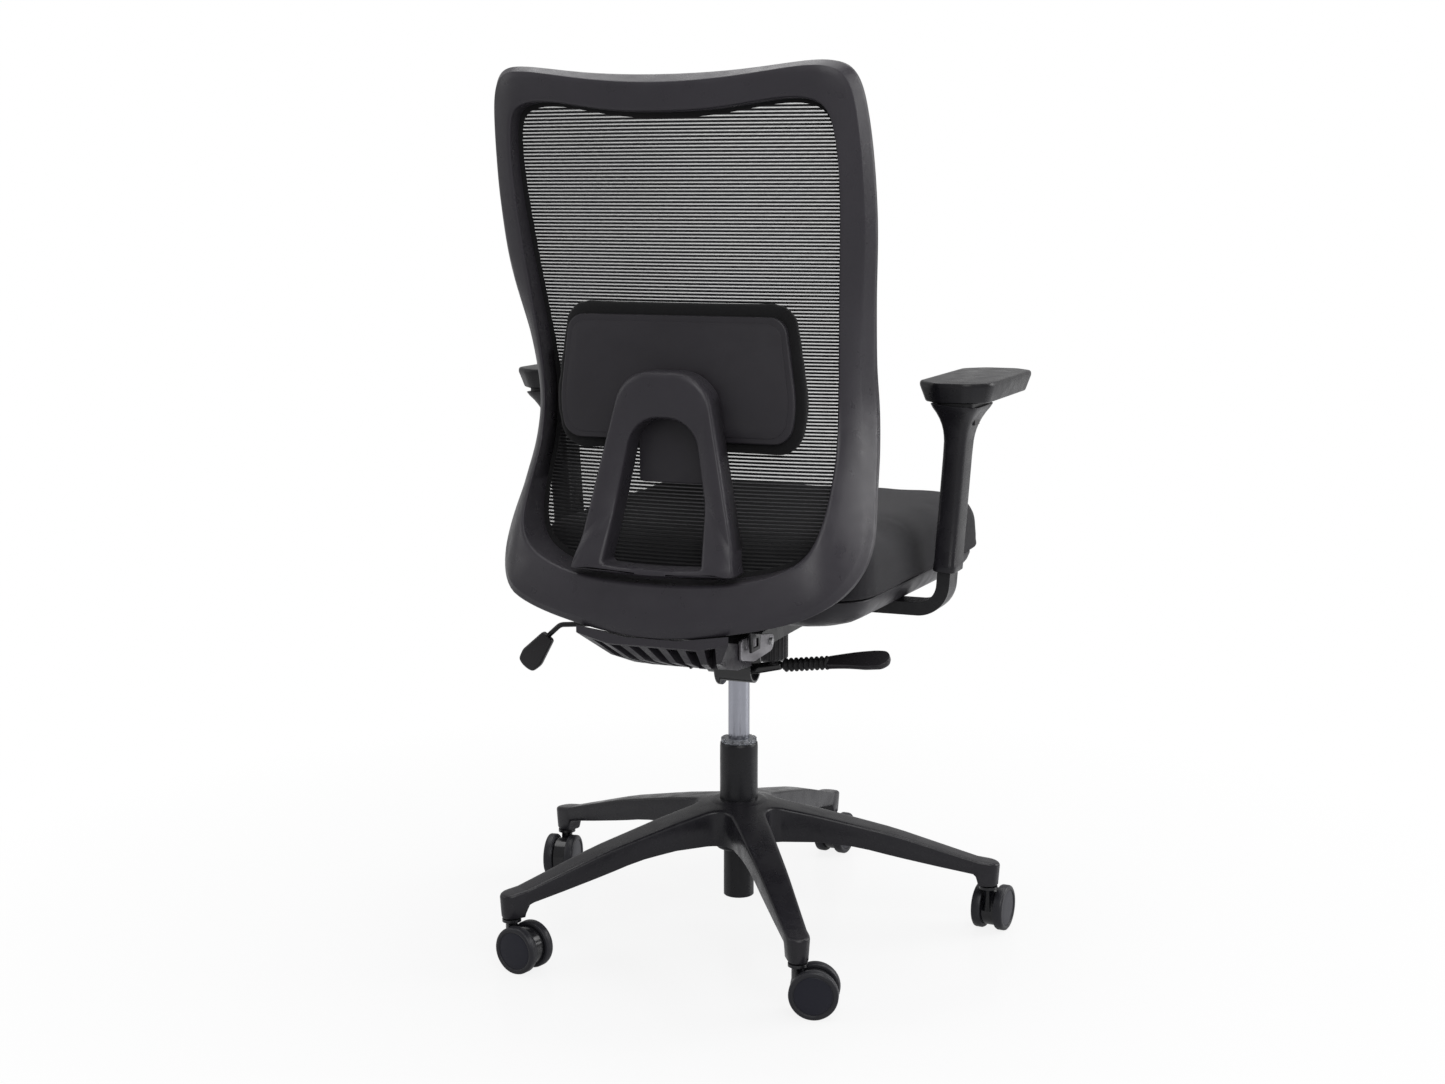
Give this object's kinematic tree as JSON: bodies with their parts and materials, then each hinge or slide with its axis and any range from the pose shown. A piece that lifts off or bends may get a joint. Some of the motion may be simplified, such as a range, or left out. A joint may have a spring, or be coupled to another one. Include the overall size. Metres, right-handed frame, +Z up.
{
  "type": "swivel office chair",
  "caption": "Swivel office chair with a mesh back, sliding lumbar pad, height-adjustable armrests, synchronous tilt, gas lift and a star base on twin-wheel casters.",
  "frame": {"origin": "on the floor under the axis of the gas column", "axes": "+Z up; the sitter faces -Y, so +X is the sitter's left and +Y is behind the back"},
  "size_m": [0.6761, 0.6801, 1.1121],
  "materials": {
    "base_plastic": "fine moulded grain, satin",
    "column_paint": "black powder coat",
    "bush_clear": "pale semi-clear guide bush",
    "steel": "bright steel",
    "chrome": "polished chrome tube",
    "black_paint": "black paint, half gloss",
    "zinc": "light grey plated metal",
    "knob_plastic": "black satin plastic",
    "bellows_rubber": "black rubber",
    "shell_plastic": "dark grey moulded plastic",
    "seat_fabric": "black woven upholstery",
    "frame_plastic": "near-black plastic with a fine grain",
    "back_net": "black net with close horizontal strands",
    "pad_fabric": "black cloth over foam",
    "arm_pad_soft": "soft dark grey pad",
    "caster_plastic": "black plastic hood",
    "wheel_tread": "black wheel with a darker blue-black face"
  },
  "bodies": {
    "base": {"star_base": "base_plastic", "column_tube": "column_paint", "column_bush": "bush_clear", "thrust_bearing": "steel"},
    "piston": {"piston_rod": "steel", "column_clip": "steel"},
    "chassis": {"gas_cylinder": "chrome", "mechanism_housing": "black_paint", "pivot_pins": "steel", "tension_spring": "steel", "crossbar": "black_paint", "side_nut": "zinc"},
    "valve": {"valve_pin": "steel"},
    "knob": {"tension_knob": "knob_plastic"},
    "height_lever": {"height_lever_arm": "black_paint", "height_lever_bellows": "bellows_rubber", "height_lever_paddle": "knob_plastic"},
    "tilt_lever": {"tilt_lever_rod": "black_paint", "tilt_lever_paddle": "knob_plastic"},
    "back": {"hinge_plates": "zinc", "back_bracket": "frame_plastic", "back_frame": "frame_plastic", "back_mesh": "back_net", "lumbar_arch": "frame_plastic"},
    "lumbar": {"lumbar_carrier": "frame_plastic", "lumbar_pad": "pad_fabric"},
    "seat": {"seat_plate": "black_paint", "seat_shell": "shell_plastic", "seat_cushion": "seat_fabric", "seat_screws": "zinc", "arm_bracket_left": "black_paint", "arm_bracket_right": "black_paint"},
    "arm_left": {"arm_sleeve_left": "frame_plastic", "arm_plate_left": "frame_plastic"},
    "pad_left": {"arm_pad_left": "arm_pad_soft"},
    "button_left": {"arm_button_left": "knob_plastic"},
    "arm_right": {"arm_sleeve_right": "frame_plastic", "arm_plate_right": "frame_plastic"},
    "pad_right": {"arm_pad_right": "arm_pad_soft"},
    "button_right": {"arm_button_right": "knob_plastic"},
    "caster_1": {"caster_1_housing": "caster_plastic", "caster_1_pins": "steel"},
    "wheel_1_left": {"caster_1_wheel_left": "wheel_tread"},
    "wheel_1_right": {"caster_1_wheel_right": "wheel_tread"},
    "caster_2": {"caster_2_housing": "caster_plastic", "caster_2_pins": "steel"},
    "wheel_2_left": {"caster_2_wheel_left": "wheel_tread"},
    "wheel_2_right": {"caster_2_wheel_right": "wheel_tread"},
    "caster_3": {"caster_3_housing": "caster_plastic", "caster_3_pins": "steel"},
    "wheel_3_left": {"caster_3_wheel_left": "wheel_tread"},
    "wheel_3_right": {"caster_3_wheel_right": "wheel_tread"},
    "caster_4": {"caster_4_housing": "caster_plastic", "caster_4_pins": "steel"},
    "wheel_4_left": {"caster_4_wheel_left": "wheel_tread"},
    "wheel_4_right": {"caster_4_wheel_right": "wheel_tread"},
    "caster_5": {"caster_5_housing": "caster_plastic", "caster_5_pins": "steel"},
    "wheel_5_left": {"caster_5_wheel_left": "wheel_tread"},
    "wheel_5_right": {"caster_5_wheel_right": "wheel_tread"}
  },
  "joints": [
    {"name": "seat_swivel", "type": "hinge", "parent": "base", "child": "piston", "pos_m": [0, 0, 0.05], "axis": [0, 0, 1], "continuous": true},
    {"name": "seat_lift", "type": "slide", "parent": "piston", "child": "chassis", "axis": [0, 0, 1], "range_m": [-0.06, 0.05]},
    {"name": "valve_press", "type": "slide", "parent": "chassis", "child": "valve", "axis": [0, 0, -1], "range_m": [0, 0.0035]},
    {"name": "tension_turn", "type": "hinge", "parent": "chassis", "child": "knob", "pos_m": [0, -0.116, 0.36], "axis": [0, 0, 1], "range_deg": [-720, 720]},
    {"name": "height_lever_lift", "type": "hinge", "parent": "chassis", "child": "height_lever", "pos_m": [-0.037, 0.055, 0.3616], "axis": [0, 1, 0], "range_deg": [0, 8], "stiffness_Nm_per_rad": 2, "springref_deg": -11.46},
    {"name": "tilt_lever_turn", "type": "hinge", "parent": "chassis", "child": "tilt_lever", "pos_m": [0.05, -0.02, 0.401], "axis": [-1, 0, 0], "range_deg": [0, 35]},
    {"name": "back_recline", "type": "hinge", "parent": "chassis", "child": "back", "pos_m": [0, 0.045, 0.398], "axis": [-1, 0, 0], "range_deg": [0, 18], "stiffness_Nm_per_rad": 60, "springref_deg": -20.05},
    {"name": "seat_tilt", "type": "hinge", "parent": "chassis", "child": "seat", "pos_m": [0, -0.075, 0.41], "axis": [-1, 0, 0], "range_deg": [0, 7]},
    {"name": "lumbar_slide", "type": "slide", "parent": "back", "child": "lumbar", "axis": [0, 0, 1], "range_m": [-0.03, 0.03]},
    {"name": "arm_height_left", "type": "slide", "parent": "seat", "child": "arm_left", "axis": [0.0698, 0, 0.9976], "range_m": [0, 0.07]},
    {"name": "arm_pad_slide_left", "type": "slide", "parent": "arm_left", "child": "pad_left", "axis": [0, 1, 0], "range_m": [-0.025, 0.025]},
    {"name": "arm_button_press_left", "type": "slide", "parent": "arm_left", "child": "button_left", "axis": [-1, 0, 0], "range_m": [0, 0.003], "stiffness_N_per_m": 400, "springref_m": -0.001},
    {"name": "arm_height_right", "type": "slide", "parent": "seat", "child": "arm_right", "axis": [-0.0698, 0, 0.9976], "range_m": [0, 0.07]},
    {"name": "arm_pad_slide_right", "type": "slide", "parent": "arm_right", "child": "pad_right", "axis": [0, 1, 0], "range_m": [-0.025, 0.025]},
    {"name": "arm_button_press_right", "type": "slide", "parent": "arm_right", "child": "button_right", "axis": [1, 0, 0], "range_m": [0, 0.003], "stiffness_N_per_m": 400, "springref_m": -0.001},
    {"name": "caster_1_swivel", "type": "hinge", "parent": "base", "child": "caster_1", "pos_m": [0.20619, 0.25829, 0.06], "axis": [0, 0, 1], "continuous": true},
    {"name": "wheel_1_left_spin", "type": "hinge", "parent": "caster_1", "child": "wheel_1_left", "pos_m": [0.18671, 0.26279, 0.03], "axis": [-0.225, -0.9744, 0], "continuous": true},
    {"name": "wheel_1_right_spin", "type": "hinge", "parent": "caster_1", "child": "wheel_1_right", "pos_m": [0.18671, 0.26279, 0.03], "axis": [-0.225, -0.9744, 0], "continuous": true},
    {"name": "caster_2_swivel", "type": "hinge", "parent": "base", "child": "caster_2", "pos_m": [-0.18193, 0.27592, 0.06], "axis": [0, 0, 1], "continuous": true},
    {"name": "wheel_2_left_spin", "type": "hinge", "parent": "caster_2", "child": "wheel_2_left", "pos_m": [-0.20125, 0.27074, 0.03], "axis": [0.2588, -0.9659, 0], "continuous": true},
    {"name": "wheel_2_right_spin", "type": "hinge", "parent": "caster_2", "child": "wheel_2_right", "pos_m": [-0.20125, 0.27074, 0.03], "axis": [0.2588, -0.9659, 0], "continuous": true},
    {"name": "caster_3_swivel", "type": "hinge", "parent": "base", "child": "caster_3", "pos_m": [-0.31863, -0.08777, 0.06], "axis": [0, 0, 1], "continuous": true},
    {"name": "wheel_3_left_spin", "type": "hinge", "parent": "caster_3", "child": "wheel_3_left", "pos_m": [-0.32038, -0.10769, 0.03], "axis": [0.9962, -0.0872, 0], "continuous": true},
    {"name": "wheel_3_right_spin", "type": "hinge", "parent": "caster_3", "child": "wheel_3_right", "pos_m": [-0.32038, -0.10769, 0.03], "axis": [0.9962, -0.0872, 0], "continuous": true},
    {"name": "caster_4_swivel", "type": "hinge", "parent": "base", "child": "caster_4", "pos_m": [-0.01499, -0.33016, 0.06], "axis": [0, 0, 1], "continuous": true},
    {"name": "wheel_4_left_spin", "type": "hinge", "parent": "caster_4", "child": "wheel_4_left", "pos_m": [-0.01674, -0.35008, 0.03], "axis": [0.9962, -0.0872, 0], "continuous": true},
    {"name": "wheel_4_right_spin", "type": "hinge", "parent": "caster_4", "child": "wheel_4_right", "pos_m": [-0.01674, -0.35008, 0.03], "axis": [0.9962, -0.0872, 0], "continuous": true},
    {"name": "caster_5_swivel", "type": "hinge", "parent": "base", "child": "caster_5", "pos_m": [0.30937, -0.11628, 0.06], "axis": [0, 0, 1], "continuous": true},
    {"name": "wheel_5_left_spin", "type": "hinge", "parent": "caster_5", "child": "wheel_5_left", "pos_m": [0.30624, -0.09653, 0.03], "axis": [-0.9877, -0.1564, 0], "continuous": true},
    {"name": "wheel_5_right_spin", "type": "hinge", "parent": "caster_5", "child": "wheel_5_right", "pos_m": [0.30624, -0.09653, 0.03], "axis": [-0.9877, -0.1564, 0], "continuous": true}
  ],
  "couplings": [
    {"joint": "valve_press", "follows": "height_lever_lift", "m_per_rad": 0.0215},
    {"joint": "seat_tilt", "follows": "back_recline", "ratio": 0.38}
  ]
}
